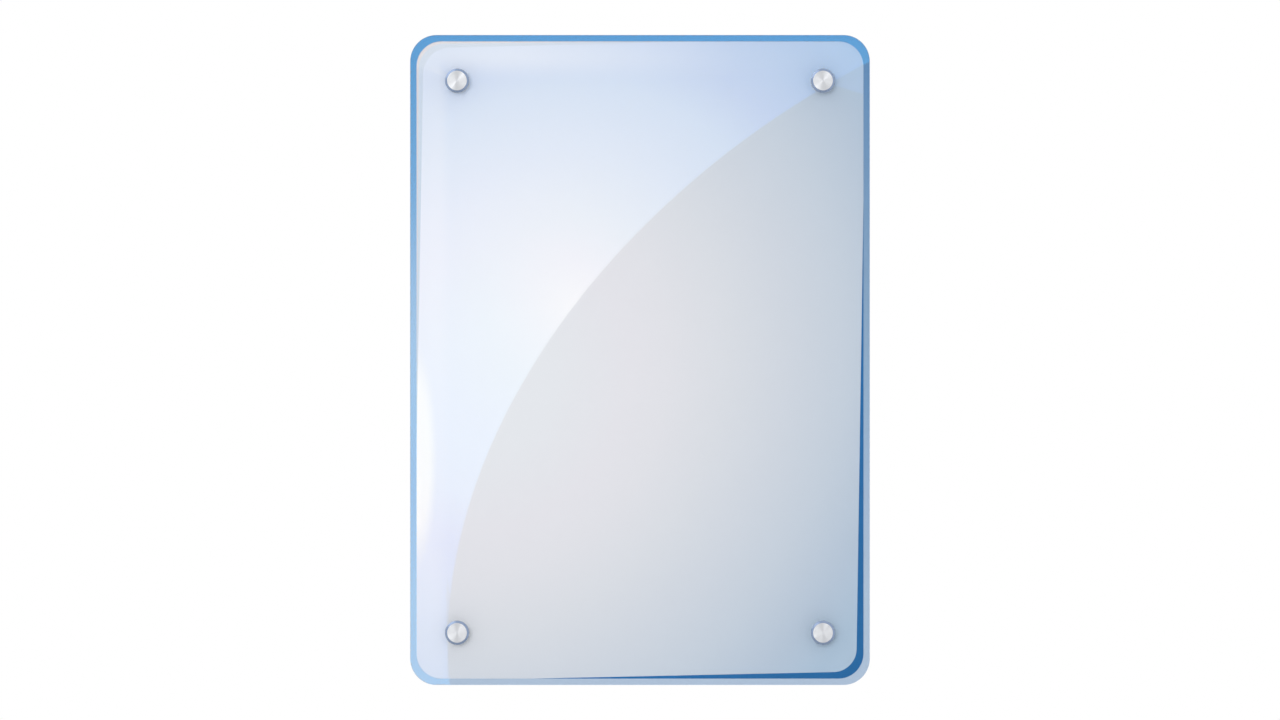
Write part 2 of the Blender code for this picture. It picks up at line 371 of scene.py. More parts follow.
@dataclass(frozen=True)
class PrintedAndShadedFilm(Finish):
    """Printed polyester film: a satin colour with a very fine grain. Its colour changes from a point
    outwards, as painted shading on the pale face.

    Attributes:
        stops: Its colours, from a point of the board out to the edge of an oval round it.
        centre: That point.
        radii: The oval's two radii.
        tilt: How far the oval is turned, clockwise.
    """

    stops: tuple[Stop, ...]
    centre: Point = (-135 * MM, -26 * MM)
    radii: Point = (460 * MM, 394 * MM)
    tilt: float = math.radians(-54.5)
    grain_size: float = 0.9 * MM
    grain: float = 0.012

    def shader(self, made: bpy.types.Material) -> bpy.types.Node:
        """Add the colour by distance from its centre, which on the pale face is painted shading.

        Args:
            made: The material that takes the nodes.

        Returns:
            The node that gives the surface.
        """
        # on the pale face this distance gives painted shading: darker and bluer outwards
        away = from_point(made, self.centre, self.radii, self.tilt)
        distance = add_node(made, "VectorMath", {0: away}, operation="LENGTH").outputs["Value"]
        colour = add_node(made, "ValToRGB", {"Fac": distance}, self.stops)
        where = add_node(made, "TexCoord").outputs["Object"]
        printed = mottle(made, colour, where, self.grain_size, self.grain)
        film = {"Base Color": printed, "Roughness": 0.5, "Specular IOR Level": 0.2}
        return add_node(made, "BsdfPrincipled", film)


@dataclass(frozen=True)
class GalvanisedSteel(Finish):
    """Hot-dip galvanised steel sheet: flat crystals of zinc that each catch the light differently."""

    light: str = "#BEC3C7"
    dark: str = "#9DA3A8"
    smoothest: float = 0.35
    roughest: float = 0.55
    crystal_size: float = 9 * MM
    crystal_edge: float = 0.05 * MM

    def shader(self, made: bpy.types.Material) -> bpy.types.Node:
        """Add the crystals, each with its own tone and roughness.

        Args:
            made: The material that takes the nodes.

        Returns:
            The node that gives the surface.
        """
        where = add_node(made, "TexCoord").outputs["Object"]
        bend = add_node(made, "TexNoise", {"Vector": where, "Scale": 2 / self.crystal_size})
        ragged = {0: bend.outputs["Color"], 1: (self.crystal_size,) * 3, 2: where}
        bent = add_node(made, "VectorMath", ragged, operation="MULTIPLY_ADD")
        crystals = add_node(made, "TexVoronoi", {"Vector": bent, "Scale": 1 / self.crystal_size})
        tone = add_node(made, "SeparateColor", {"Color": crystals.outputs["Color"]}).outputs
        edges = {"Height": crystals, "Distance": self.crystal_edge, "Strength": 0.4}
        rough = {"Value": tone["Green"], "To Min": self.smoothest, "To Max": self.roughest}
        tones = ((0.0, self.dark), (1.0, self.light))
        steel = {
            "Base Color": add_node(made, "ValToRGB", {"Fac": tone["Red"]}, tones),
            "Roughness": add_node(made, "MapRange", rough),
            "Metallic": 1.0,
            "Normal": add_node(made, "Bump", edges),
        }
        return add_node(made, "BsdfPrincipled", steel)


@dataclass(frozen=True)
class TurnedAluminium(Finish):
    """Aluminium faced on a lathe and satin anodised: fine rings round the axis, and a sheen that fans out.

    The rings are drawn coarser than real ones, which are too fine to show.

    Attributes:
        centre: The lathe's axis, across and up.
    """

    light: str
    dark: str
    roughness: float
    anisotropy: float
    centre: Point = (0.0, 0.0)
    ring_spacing: float = 0.35 * MM
    ring_depth: float = 0.004 * MM
    wear_size: float = 6 * MM
    wear: float = 0.04

    def at(self, place: Place, centre: Point) -> "TurnedAluminium":
        """Give the finish for a copy at one corner, with its rings round that copy's axis."""
        return replace(self, name=f"{self.name}_{place.value}", centre=centre)

    def shader(self, made: bpy.types.Material) -> bpy.types.Node:
        """Add the rings, the worn patches and the sheen.

        Args:
            made: The material that takes the nodes.

        Returns:
            The node that gives the surface.
        """
        away = from_point(made, self.centre)
        turning = {"Vector": away, "Scale": UNIT_WAVE / self.ring_spacing, "Distortion": 0.6}
        rings = add_node(made, "TexWave", turning, wave_type="RINGS", rings_direction="Y").outputs["Fac"]
        worn = add_node(made, "TexNoise", {"Vector": away, "Scale": 1 / self.wear_size, "Detail": 4.0})
        tone = add_node(made, "MixRGB", {"Fac": 0.35, "Color1": rings, "Color2": worn})
        rough = {"Value": worn, "To Min": self.roughness - self.wear, "To Max": self.roughness + self.wear}
        metal = {
            "Base Color": add_node(made, "ValToRGB", {"Fac": tone}, [(0.15, self.dark), (0.85, self.light)]),
            "Roughness": add_node(made, "MapRange", rough),
            "Metallic": 1.0,
            "Anisotropic": self.anisotropy,
            "Anisotropic Rotation": 0.25,
            "Tangent": add_node(made, "Tangent", direction_type="RADIAL", axis="Y"),
            "Normal": add_node(made, "Bump", {"Height": rings, "Distance": self.ring_depth, "Strength": 0.5}),
        }
        return add_node(made, "BsdfPrincipled", metal)


@dataclass(frozen=True)
class PlatedSteel(Finish):
    """Zinc-plated steel: a grey shine with faint cloudy tints, duller where the plating is thin."""

    light: str
    dark: str
    roughness: float = 0.32
    unevenness: float = 0.1
    cloud_size: float = 3 * MM

    def shader(self, made: bpy.types.Material) -> bpy.types.Node:
        """Add the cloudy plating.

        Args:
            made: The material that takes the nodes.

        Returns:
            The node that gives the surface.
        """
        where = add_node(made, "TexCoord").outputs["Object"]
        clouds = add_node(made, "TexNoise", {"Vector": where, "Scale": 1 / self.cloud_size, "Detail": 5.0})
        dull, bright = self.roughness + self.unevenness, self.roughness - self.unevenness
        rough = {"Value": clouds, "To Min": dull, "To Max": bright}
        steel = {
            "Base Color": add_node(made, "ValToRGB", {"Fac": clouds}, [(0.3, self.dark), (0.7, self.light)]),
            "Roughness": add_node(made, "MapRange", rough),
            "Metallic": 1.0,
        }
        return add_node(made, "BsdfPrincipled", steel)


@dataclass(frozen=True)
class MouldedNylon(Finish):
    """Injection-moulded nylon: a waxy, slightly clear plastic with a fine matt grain from the mould."""

    light: str
    dark: str
    roughness: float = 0.45
    clear_depth: float = 0.5 * MM
    flow_size: float = 4 * MM
    grain_size: float = 0.25 * MM
    grain_depth: float = 0.01 * MM

    def shader(self, made: bpy.types.Material) -> bpy.types.Node:
        """Add the waxy plastic, its flow marks and its grain.

        Args:
            made: The material that takes the nodes.

        Returns:
            The node that gives the surface.
        """
        where = add_node(made, "TexCoord").outputs["Object"]
        flow = add_node(made, "TexNoise", {"Vector": where, "Scale": 1 / self.flow_size, "Detail": 3.0})
        grain = add_node(made, "TexNoise", {"Vector": where, "Scale": 1 / self.grain_size})
        matt = {"Height": grain, "Distance": self.grain_depth, "Strength": 0.4}
        nylon = {
            "Base Color": add_node(made, "ValToRGB", {"Fac": flow}, [(0.3, self.dark), (0.7, self.light)]),
            "Roughness": self.roughness,
            "IOR": 1.53,
            "Subsurface Weight": 0.15,
            "Subsurface Radius": (1.0, 1.0, 0.8),
            "Subsurface Scale": self.clear_depth,
            "Normal": add_node(made, "Bump", matt),
        }
        return add_node(made, "BsdfPrincipled", nylon)


class InkAndPaintedLight(Enum):
    """What covers the film, print or painted light: the name of each material and its colours, from the
    print's centre outwards.
    """

    NONE = ("matt_polyester", ((0.0, "#E4E7EA"), (1.0, "#DADFE4")))
    # the pale print darkens and turns bluer towards its edge: painted shading
    PALE = (
        "pale_print",
        (
            (0.13, "#E8EBEF"),
            (0.30, "#E7E7EC"),
            (0.39, "#E4E5EA"),
            (0.52, "#DCE0E6"),
            (0.65, "#D2D9E2"),
            (0.78, "#C7D2DE"),
            (0.91, "#B7C7D8"),
            (1.00, "#AEC4D8"),
        ),
    )
    # painted shade: the dark side of a painted bevel round the pale face
    DARK_BLUE = ("dark_blue_print", ((0.6, "#266FB1"), (0.9, "#1F669F")))
    # painted light: the lit side of that painted bevel, beige outside and grey inside
    BEIGE = ("beige_print", ((0.3, "#D2CCC8"), (0.9, "#CFCAC7")))
    GREY = ("grey_print", ((0.3, "#C4CED6"), (0.9, "#C1CBD3")))


CAP_FACE = TurnedAluminium("faced_aluminium", "#D9DBDE", "#CACCD1", roughness=0.38, anisotropy=0.93)
# painted shade: the cap's bevel, side and back get a darker blue-grey than its faced front, though both are
# the same aluminium
CAP_SIDE_PAINTED_SHADE = TurnedAluminium("bevelled_aluminium_painted_shade", "#95A5BE", "#8797B4", roughness=0.26, anisotropy=0.3)
BARREL_METAL = TurnedAluminium("turned_barrel", "#C0C4C9", "#B0B4BA", roughness=0.32, anisotropy=0.4)
STUD_STEEL = PlatedSteel("zinc_plated_steel", "#B9BDC1", "#8F9499")
SCREW_STEEL = PlatedSteel("bright_zinc", "#C6C9CC", "#A2A6AA", roughness=0.28)
RING_NYLON = MouldedNylon("natural_nylon", "#EFEFE8", "#E3E3DA")
PLUG_NYLON = MouldedNylon("grey_nylon", "#A3A8AD", "#92979D", roughness=0.5)


def leave_edit_mode() -> None:
    """Close edit mode and select nothing, ready for the next piece."""
    if bpy.context.mode != "OBJECT":
        bpy.ops.object.mode_set(mode="OBJECT")
    bpy.ops.object.select_all(action="DESELECT")


class Blank:
    """A mesh on the bench. It starts as a primitive, and edit tools and modifiers shape it.

    Attributes:
        obj: The mesh's object.
    """

    def __init__(self, name: str) -> None:
        """Take over the primitive that was just added, with its size and turn put in its mesh.

        Args:
            name: Name of the piece.
        """
        self.obj = bpy.context.active_object
        self.obj.name = self.obj.data.name = name
        bpy.ops.object.transform_apply(location=True, rotation=True, scale=True)

    @classmethod
    def box(cls, name: str, size: Sequence[float], middle: Sequence[float]) -> "Blank":
        """Start from a cube stretched to a box.

        Args:
            name: Name of the piece.
            size: Width, thickness and height.
            middle: The box's centre.

        Returns:
            The new blank.
        """
        leave_edit_mode()
        bpy.ops.mesh.primitive_cube_add(size=1.0, location=middle, scale=size)
        return cls(name)

    @classmethod
    def outline(
        cls, name: str, points: Sequence[Point], radii: Sequence[float], depth: float, steps: int
    ) -> "Blank":
        """Start from a flat polygon whose points are moved to an outline and then rounded.

        Args:
            name: Name of the piece.
            points: Points of the outline, in order.
            radii: Radius at each point, or zero where it stays as it is.
            depth: The outline's distance out from the wall.
            steps: Steps of each round corner.

        Returns:
            The new blank, an outline without a face.
        """
        leave_edit_mode()
        bpy.ops.mesh.primitive_circle_add(vertices=len(points), radius=1.0, fill_type="NGON")
        blank = cls(name)
        blank.edit()
        shape = bmesh.from_edit_mesh(blank.obj.data)
        for vertex, (x, z) in zip(shape.verts, points):
            vertex.co = (x, -depth, z)
        bmesh.update_edit_mesh(blank.obj.data)
        for (x, z), radius in zip(points, radii):
            if radius:
                corner = Vector((x, -depth, z))
                blank.select(Part.POINT, lambda vertex: (vertex.co - corner).length < TOUCH)
                bpy.ops.mesh.bevel(offset=radius, segments=steps, affect="VERTICES", clamp_overlap=False)
        blank.select(Part.FACE, lambda face: True)
        bpy.ops.mesh.delete(type="ONLY_FACE")
        return blank

    def edit(self) -> None:
        """Open this mesh, and no other, in edit mode."""
        if bpy.context.mode == "EDIT_MESH" and bpy.context.active_object == self.obj:
            return
        leave_edit_mode()
        self.obj.select_set(True)
        bpy.context.view_layer.objects.active = self.obj
        bpy.ops.object.mode_set(mode="EDIT")

    def select(self, part: Part, test: Callable[..., bool]) -> None:
        """Select the points, edges or faces that pass a test, and nothing else.

        Args:
            part: What is tested.
            test: Takes a mesh element and says whether it is wanted.

        Raises:
            ValueError: Nothing passes, so the piece isn't the shape that the test was written for.
        """
        self.edit()
        bpy.ops.mesh.select_mode(type=part.value)
        bpy.ops.mesh.select_all(action="DESELECT")
        shape = bmesh.from_edit_mesh(self.obj.data)
        elements = {Part.POINT: shape.verts, Part.EDGE: shape.edges, Part.FACE: shape.faces}[part]
        chosen = [element for element in elements if test(element)]
        if not chosen:
            raise ValueError(f"nothing to select on {self.obj.name}")
        for element in chosen:
            element.select_set(True)
        bmesh.update_edit_mesh(self.obj.data)

    def loft(self, *others: "Blank") -> "Blank":
        """Join outlines, each nearer the front than the last, with walls and close both ends.

        Args:
            *others: The outlines that follow this one.

        Returns:
            This blank, now a solid.
        """
        leave_edit_mode()
        depths = [-blank.obj.data.vertices[0].co.y for blank in (self, *others)]
        self.join(*others)
        for behind, ahead in zip(depths, depths[1:]):
            self.select(Part.EDGE, lambda edge: lies_at(edge, behind) or lies_at(edge, ahead))
            bpy.ops.mesh.bridge_edge_loops()
        for end in (depths[0], depths[-1]):
            self.select(Part.EDGE, lambda edge: lies_at(edge, end))
            bpy.ops.mesh.edge_face_add()
        return self

    def join(self, *others: "Blank") -> None:
        """Take the meshes of other blanks into this one.

        Args:
            *others: The other blanks, which are used up.
        """
        leave_edit_mode()
        for blank in (self, *others):
            blank.obj.select_set(True)
        bpy.context.view_layer.objects.active = self.obj
        bpy.ops.object.join()

    def bevel(self, width: float, steps: int, test: Callable[..., bool]) -> "Blank":
        """Round the edges that pass a test.

        Args:
            width: Width of the rounding.
            steps: Its number of faces.
            test: Takes an edge and says whether it is wanted.

        Returns:
            This blank.
        """
        self.select(Part.EDGE, test)
        bpy.ops.mesh.bevel(offset=width, segments=steps, affect="EDGES", clamp_overlap=False)
        return self

    def modify(self, kind: str, **settings: object) -> "Blank":
        """Apply a modifier.

        Args:
            kind: The modifier's type.
            **settings: Its properties.

        Returns:
            This blank.
        """
        leave_edit_mode()
        bpy.context.view_layer.objects.active = self.obj
        modifier = self.obj.modifiers.new(kind.lower(), kind)
        for name, value in settings.items():
            setattr(modifier, name, value)
        bpy.ops.object.modifier_apply(modifier=modifier.name)
        return self

    def combine(self, operation: str, tool: "Blank") -> "Blank":
        """Cut, keep or add a tool's shape, and discard the tool.

        Args:
            operation: DIFFERENCE, INTERSECT or UNION.
            tool: The other solid.

        Returns:
            This blank.
        """
        self.outwards()
        tool.outwards()
        self.modify("BOOLEAN", operation=operation, object=tool.obj, solver="EXACT")
        bpy.data.objects.remove(tool.obj, do_unlink=True)
        return self

    def outwards(self) -> None:
        """Merge doubles and turn all faces out."""
        self.select(Part.FACE, lambda face: True)
        bpy.ops.mesh.remove_doubles(threshold=MERGE)
        bpy.ops.mesh.normals_make_consistent(inside=False)
        leave_edit_mode()

    def paint(self, materials: Sequence[bpy.types.Material], choose: Callable[..., int]) -> None:
        """Give the mesh its materials.

        Args:
            materials: The materials, in order of their number.
            choose: Takes a face's polygon and gives the number of its material.
        """
        leave_edit_mode()
        self.obj.data.materials.clear()
        for material in materials:
            self.obj.data.materials.append(material)
        for face in self.obj.data.polygons:
            face.material_index = choose(face)

    def finish(self) -> bpy.types.Object:
        """Close the piece: faces out, smooth where it is round, flat faces truly flat.

        Returns:
            The finished piece's object.
        """
        self.outwards()
        self.obj.select_set(True)
        bpy.context.view_layer.objects.active = self.obj
        bpy.ops.object.shade_smooth_by_angle(angle=SMOOTH_ANGLE)
        self.modify("WEIGHTED_NORMAL", keep_sharp=True)
        return self.obj


class Turning(Blank):
    """A round piece on the lathe, turned about the Y axis by extruding and scaling one ring after another.

    Attributes:
        radius: Radius of the last ring.
        depth: Distance of the last ring out from the wall.
    """

    def __init__(self, name: str, radius: float, depth: float, steps: int, filled: bool) -> None:
        """Start from a circle.

        Args:
            name: Name of the piece.
            radius: Radius of the first ring.
            depth: Distance of the first ring out from the wall.
            steps: Number of faces round the piece.
            filled: Whether the first ring is closed by a flat end, as on a solid piece.
        """
        leave_edit_mode()
        fill = "NGON" if filled else "NOTHING"
        bpy.ops.mesh.primitive_circle_add(
            vertices=steps,
            radius=radius,
            fill_type=fill,
            location=(0.0, -depth, 0.0),
            rotation=(QUARTER_TURN, 0.0, 0.0),
        )
        super().__init__(name)
        self.start = (radius, depth)
        self.radius, self.depth = self.start
        self.edit()
        bpy.ops.mesh.select_mode(type=Part.FACE.value if filled else Part.EDGE.value)
        bpy.ops.mesh.select_all(action="SELECT")

    def to(self, *rings: Point) -> "Turning":
        """Turn the piece on through more rings.

        Args:
            *rings: Radius and depth of each ring.

        Returns:
            This piece.
        """
        for radius, depth in rings:
            bpy.ops.mesh.extrude_region_move(
                TRANSFORM_OT_translate={"value": (0.0, self.depth - depth, 0.0)}
            )
            share = radius / self.radius
            bpy.ops.transform.resize(value=(share, 1.0, share), center_override=(0.0, -depth, 0.0))
            self.radius, self.depth = radius, depth
        return self

    def close(self) -> "Turning":
        """Turn back to the first ring, so that a hollow piece is closed.

        Returns:
            This piece.
        """
        self.to(self.start)
        self.outwards()
        return self

    def point(self, depth: float) -> "Turning":
        """End in a point on the axis.

        Args:
            depth: The point's distance out from the wall.

        Returns:
            This piece.
        """
        self.to((self.radius / 2, depth))
        bpy.ops.mesh.merge(type="CENTER")
        self.outwards()
        return self

    def soften(self, width: float, *rings: Point, steps: int = 3) -> "Turning":
        """Round the edges at some rings.

        Args:
            width: Width of the rounding.
            *rings: Radius and depth of each ring.
            steps: Number of faces in the rounding.

        Returns:
            This piece.
        """
        for radius, depth in rings:
            self.bevel(width, steps, lambda edge: is_ring(edge, radius, depth))
        return self


def lies_at(element: bmesh.types.BMEdge | bmesh.types.BMFace, depth: float) -> bool:
    """Say whether an edge or a face lies wholly at a depth."""
    return all(abs(vertex.co.y + depth) < TOUCH for vertex in element.verts)


def is_ring(edge: bmesh.types.BMEdge, radius: float, depth: float) -> bool:
    """Say whether an edge belongs to a turned ring of this radius at this depth."""
    return lies_at(edge, depth) and all(
        abs(math.hypot(vertex.co.x, vertex.co.z) - radius) < TOUCH for vertex in edge.verts
    )


def copy_to(piece: bpy.types.Object, name: str, centre: Point) -> bpy.types.Object:
    """Copy a piece, with its own mesh, to a place on the board.

    Args:
        piece: The piece, made on the Y axis.
        name: Name of the copy.
        centre: Where the copy's axis goes, across and up.

    Returns:
        The copy.
    """
    mesh = piece.data.copy()
    mesh.name = name
    mesh.transform(Matrix.Translation((centre[0], 0.0, centre[1])))
    copy = bpy.data.objects.new(name, mesh)
    bpy.context.scene.collection.objects.link(copy)
    return copy


def hand_over(piece: bpy.types.Object, node: str) -> None:
    """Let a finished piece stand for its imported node, on the same body.

    Args:
        piece: The finished piece.
        node: Name of the node.
    """
    body = next(name for name, nodes in frame["record"]["behaviour"]["bodies"].items() if node in nodes)
    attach(piece, body)
    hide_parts(node)
    log.info("%s stands for %s on body %s, %d faces", piece.name, node, body, len(piece.data.polygons))


@dataclass
class Thread:
    """A screw thread of one start, right-handed, on a bar along the Y axis."""

    pitch: float
    crest_radius: float
    core_radius: float
    crest_share: float
    root_share: float
    steps: int = 48

    def bar(self, name: str, back: float, front: float) -> Blank:
        """Make a threaded bar with flat ends.

        Args:
            name: Name of the bar.
            back: Depth of its rear end.
            front: Depth of its front end.

        Returns:
            The bar, as a closed blank.
        """
        flank = self.pitch * (1 - self.crest_share - self.root_share) / 2
        ragged_turns, spare_turns = 1.0, 0.5
        start = -(front + (ragged_turns + spare_turns) * self.pitch)
        profile = [
            (self.core_radius, 0.0),
            (self.core_radius, self.pitch * self.root_share),
            (self.crest_radius, self.pitch * self.root_share + flank),
            (self.crest_radius, self.pitch * (self.root_share + self.crest_share) + flank),
            (self.core_radius, self.pitch),
        ]
        leave_edit_mode()
        bpy.ops.mesh.primitive_plane_add(size=self.pitch)
        blank = Blank(name)
        blank.select(Part.POINT, lambda vertex: True)
        bpy.ops.mesh.merge(type="CENTER")
        bpy.ops.transform.translate(value=(profile[0][0], start, 0.0))
        for (radius, along), (next_radius, next_along) in zip(profile, profile[1:]):
            bpy.ops.mesh.extrude_region_move(
                TRANSFORM_OT_translate={"value": (next_radius - radius, next_along - along, 0.0)}
            )
        turns = math.ceil((front - back) / self.pitch + ragged_turns + spare_turns)
        blank.modify(
            "SCREW",
            axis="Y",
            steps=self.steps,
            render_steps=self.steps,
            iterations=turns + 1,
            screw_offset=self.pitch,
        )
        blank.outwards()  # joins each turn to the next, so that each cut goes round one closed line
        for depth, way in ((front, -1.0), (back, 1.0)):
            blank.select(Part.FACE, lambda face: True)
            bpy.ops.mesh.bisect(
                plane_co=(0.0, -depth, 0.0),
                plane_no=(0.0, way, 0.0),
                use_fill=True,
                clear_outer=True,
                threshold=MERGE,
            )
        return blank


@dataclass
class Board:
    """The glass with its blue rim, the printed film behind it, and the steel sheet that magnets hold to.

    Round the film's pale face, inside the rim, lies a painted bevel: a dark blue line of painted shade along
    the lower right and a grey one of painted light along the upper left. Each line is widest at its corner
    and runs out to nothing at the point where its taper ends.
    """

    glass: Extent
    film: Extent
    sheet: Extent
    sleeve: Extent
    holes: dict[Place, Point]
    sleeve_gap: float = 0.3 * MM
    corner_radius: float = 24.0 * MM
    rim_width: float = 5.6 * MM
    rim_depth: float = 3.0 * MM
    rim_corner_radius: float = 23.0 * MM
    rim_normals: Point = (0.3, 0.98)
    arris: float = 0.5 * MM
    arris_steps: int = 3
    burr: float = 0.12 * MM
    burr_steps: int = 2
    hole_chamfer: float = 0.4 * MM
    hole_steps: int = 64
    overrun: float = 1.0 * MM
    film_overlap: float = 0.2 * MM
    print_step: float = 0.015 * MM
    band_share: float = 0.35
    # sizes of the painted bevel round the pale face: shade is its dark blue painted shade along the lower
    # right, lit its grey painted light along the upper left
    shade_corner_radius: float = 20.5 * MM
    face_margin: float = 0.15 * MM
    lit_corner: Point = (6.6 * MM, 6.6 * MM)
    shade_corner: Point = (6.8 * MM, 6.6 * MM)
    lit_side_end: float = -82.0 * MM
    lit_top_end: float = 62.0 * MM
    shade_side_end: float = 150.0 * MM
    shade_bottom_end: float = -101.0 * MM
    corner_steps: int = 24

    @property
    def hole_radius(self) -> float:
        """Radius of the four holes, which the sleeves fit."""
        return self.sleeve.radius + self.sleeve_gap

    def build(self) -> None:
        """Model and dress the three layers."""
        self.build_pane()
        self.build_film()
        self.build_sheet()

    def plate(self, name: str, extent: Extent, *rings: tuple[float, float, float]) -> Blank:
        """Make a plate with round corners.

        Args:
            name: Name of the plate.
            extent: The node whose outline it follows.
            *rings: From the back on, how far a ring stays inside that outline, its corner radius and depth.

        Returns:
            The plate.
        """
        outlines = [
            Blank.outline(name, extent.corners(inset), [radius] * 4, depth, self.corner_steps)
            for inset, radius, depth in rings
        ]
        return outlines[0].loft(*outlines[1:])

    def drill(self, plate: Blank, extent: Extent, chamfer: float) -> None:
        """Bore the four holes, with a chamfer at both faces.

        Args:
            plate: The plate.
            extent: The node that gives the depths of its faces.
            chamfer: Width of the chamfer.
        """
        over = self.overrun
        wide = self.hole_radius + chamfer + over
        for place, centre in self.holes.items():
            bit = Turning("bit_" + place.value, wide, extent.back - over, self.hole_steps, filled=True)
            bit.to(
                (self.hole_radius, extent.back + chamfer),
                (self.hole_radius, extent.front - chamfer),
                (wide, extent.front + over),
            )
            leave_edit_mode()
            bit.obj.data.transform(Matrix.Translation((centre[0], 0.0, centre[1])))
            plate.combine("DIFFERENCE", bit)

    def build_pane(self) -> None:
        """Make the pane: a wide enamelled bevel round its back and a fine polished arris at its front."""
        back, front = self.glass.back, self.glass.front
        rim_front = back + self.rim_depth
        pane = self.plate(
            "pane",
            self.glass,
            (self.rim_width, self.rim_corner_radius, back),
            (0.0, self.corner_radius, rim_front),
            (0.0, self.corner_radius, front),
        )
        pane.bevel(self.arris, self.arris_steps, lambda edge: lies_at(edge, front))
        self.drill(pane, self.glass, self.hole_chamfer)
        piece = pane.finish()
        enamel = EnamelWithPaintedReflection("fired_blue_enamel_painted_reflection", self.glass.bottom, self.glass.top)
        least, most = self.rim_normals
        pane.paint(
            [FloatGlass("polished_glass").material(), enamel.material()],
            lambda face: int(
                least < face.normal.y < most
                and -rim_front < face.center.y < -back
                and self.on_rim(face.center)
            ),
        )
        hand_over(piece, "glass_pane")

    def on_rim(self, point: Vector) -> bool:
        """Tell the outer edge of the pane from its four holes.

        Args:
            point: The middle of a slanted face.

        Returns:
            Whether the point lies near the outer edge.
        """
        inner_x = self.glass.right - self.rim_width - self.rim_corner_radius / 2
        inner_z = self.glass.top - self.rim_width - self.rim_corner_radius / 2
        return abs(point.x) > inner_x or abs(point.z) > inner_z

    def film_edges(self) -> tuple[float, float, float, float]:
        """Say where the film ends, just past the inner edge of the rim.

        Returns:
            Its left, right, bottom and top.
        """
        inset = self.rim_width - self.film_overlap
        (left, top), _, (right, bottom), _ = self.glass.corners(inset)
        return left, right, bottom, top

    def film_ring(self, depth: float, share: float) -> Blank:
        """Make an outline between the film's edge and the pale face.

        It has eight points: the four corners, and the four places where a line of painted shade or painted
        light ends.

        Args:
            depth: The outline's distance out from the wall.
            share: How far it is drawn in, from 0 at the film's edge to 1 at the pale face.

        Returns:
            The outline.
        """
        left, right, bottom, top = self.film_edges()
        margin = self.face_margin * share
        lit_x, lit_z = (size * share for size in self.lit_corner)
        shade_x, shade_z = (size * share for size in self.shade_corner)
        points = [
            (left + lit_x, top - lit_z),
            (left + margin, self.lit_side_end),
            (left + margin, bottom + margin),
            (self.shade_bottom_end, bottom + margin),
            (right - shade_x, bottom + shade_z),
            (right - margin, self.shade_side_end),
            (right - margin, top - margin),
            (self.lit_top_end, top - margin),
        ]
        wide = self.rim_corner_radius
        tight = wide + (self.shade_corner_radius - wide) * share
        radii = [wide, 0.0, wide, 0.0, tight, 0.0, wide, 0.0]
        return Blank.outline("film", points, radii, depth, self.corner_steps)

    def build_film(self) -> None:
        """Make the film: each colour of the painted shade and light lines, and then the pale face, lies a
        hair proud of the last.
        """
        back, front, step = self.film.back, self.film.front, self.print_step
        levels = ((back, 0.0), (front - 2 * step, 0.0), (front - step, self.band_share), (front, 1.0))
        rings = [self.film_ring(depth, share) for depth, share in levels]
        film = rings[0].loft(*rings[1:])
        self.drill(film, self.film, 0.0)
        piece = film.finish()
        inks = list(InkAndPaintedLight)
        finishes = [PrintedAndShadedFilm(*ink.value).material() for ink in inks]
        film.paint(finishes, lambda face: inks.index(self.ink_or_light_of(face)))
        hand_over(piece, "backing_film")

    def ink_or_light_of(self, face: bpy.types.MeshPolygon) -> InkAndPaintedLight:
        """Say what covers a face of the film.

        Args:
            face: The face.

        Returns:
            What covers it: nothing on the back and the edges, pale print on the face, and on its band a
                line's painted shade or painted light.
        """
        lowest, outer_band, flush, sideways = 2.0, 1.0, 0.25, -0.1
        steps_down = (self.film.front + face.center.y) / self.print_step
        if steps_down > lowest or face.normal.y > sideways:
            return InkAndPaintedLight.NONE
        if steps_down < flush:
            return InkAndPaintedLight.PALE
        # painted shade on the lower right of the diagonal through the top right corner, painted light on the
        # upper left
        if face.center.x / self.glass.right > face.center.z / self.glass.top:
            return InkAndPaintedLight.DARK_BLUE
        return InkAndPaintedLight.BEIGE if steps_down > outer_band else InkAndPaintedLight.GREY

    def build_sheet(self) -> None:
        """Make the steel sheet, its cut edges just dulled."""
        back, front = self.sheet.back, self.sheet.front
        radius = self.rim_corner_radius - (self.sheet.left - self.glass.left - self.rim_width)
        sheet = self.plate("sheet", self.sheet, (0.0, radius, back), (0.0, radius, front))
        sheet.bevel(self.burr, self.burr_steps, lambda edge: lies_at(edge, back) or lies_at(edge, front))
        self.drill(sheet, self.sheet, 0.0)
        piece = sheet.finish()
        sheet.paint([GalvanisedSteel("galvanised_steel").material()], lambda face: 0)
        hand_over(piece, "steel_sheet")


@dataclass
class Fixing:
    """One kind of the pieces that hold the board, modelled once on the Y axis and copied to each corner.

    Attributes:
        places: Where the four corners are, across and up.
        kind: The kind of node that it stands for.
        slot: The record's slot for its finish. Not used.
        finishes: Its finishes, in the order of its material numbers.
    """

    places: dict[Place, Point]
    kind: str
    slot: Slot
    finishes: tuple[Finish, ...]
    steps: int = 96
    bore_radius: float = 4.3 * MM
    screw_hole_radius: float = 2.05 * MM
    edge: float = 0.15 * MM
    edge_steps: int = 3

    @property
    def size(self) -> Extent:
        """Extent of this kind of piece, read at the top left."""
        return Extent.of(f"{self.kind}_{Place.TOP_LEFT.value}")

    def model(self) -> Blank:
        """Shape the piece on the Y axis."""
        raise NotImplementedError

    def dress(self, copy: bpy.types.Object, place: Place, centre: Point) -> None:
        """Give one copy its finishes."""
        for finish in self.finishes:
            copy.data.materials.append(finish.at(place, centre).material())

    def build(self) -> None:
        """Model the piece, copy it to its four places, dress each copy and hand it over."""
        piece = self.model().finish()
        for place, centre in self.places.items():
            copy = copy_to(piece, f"{piece.name}_{place.value}", centre)
            self.dress(copy, place, centre)
            hand_over(copy, f"{self.kind}_{place.value}")
        bpy.data.objects.remove(piece, do_unlink=True)


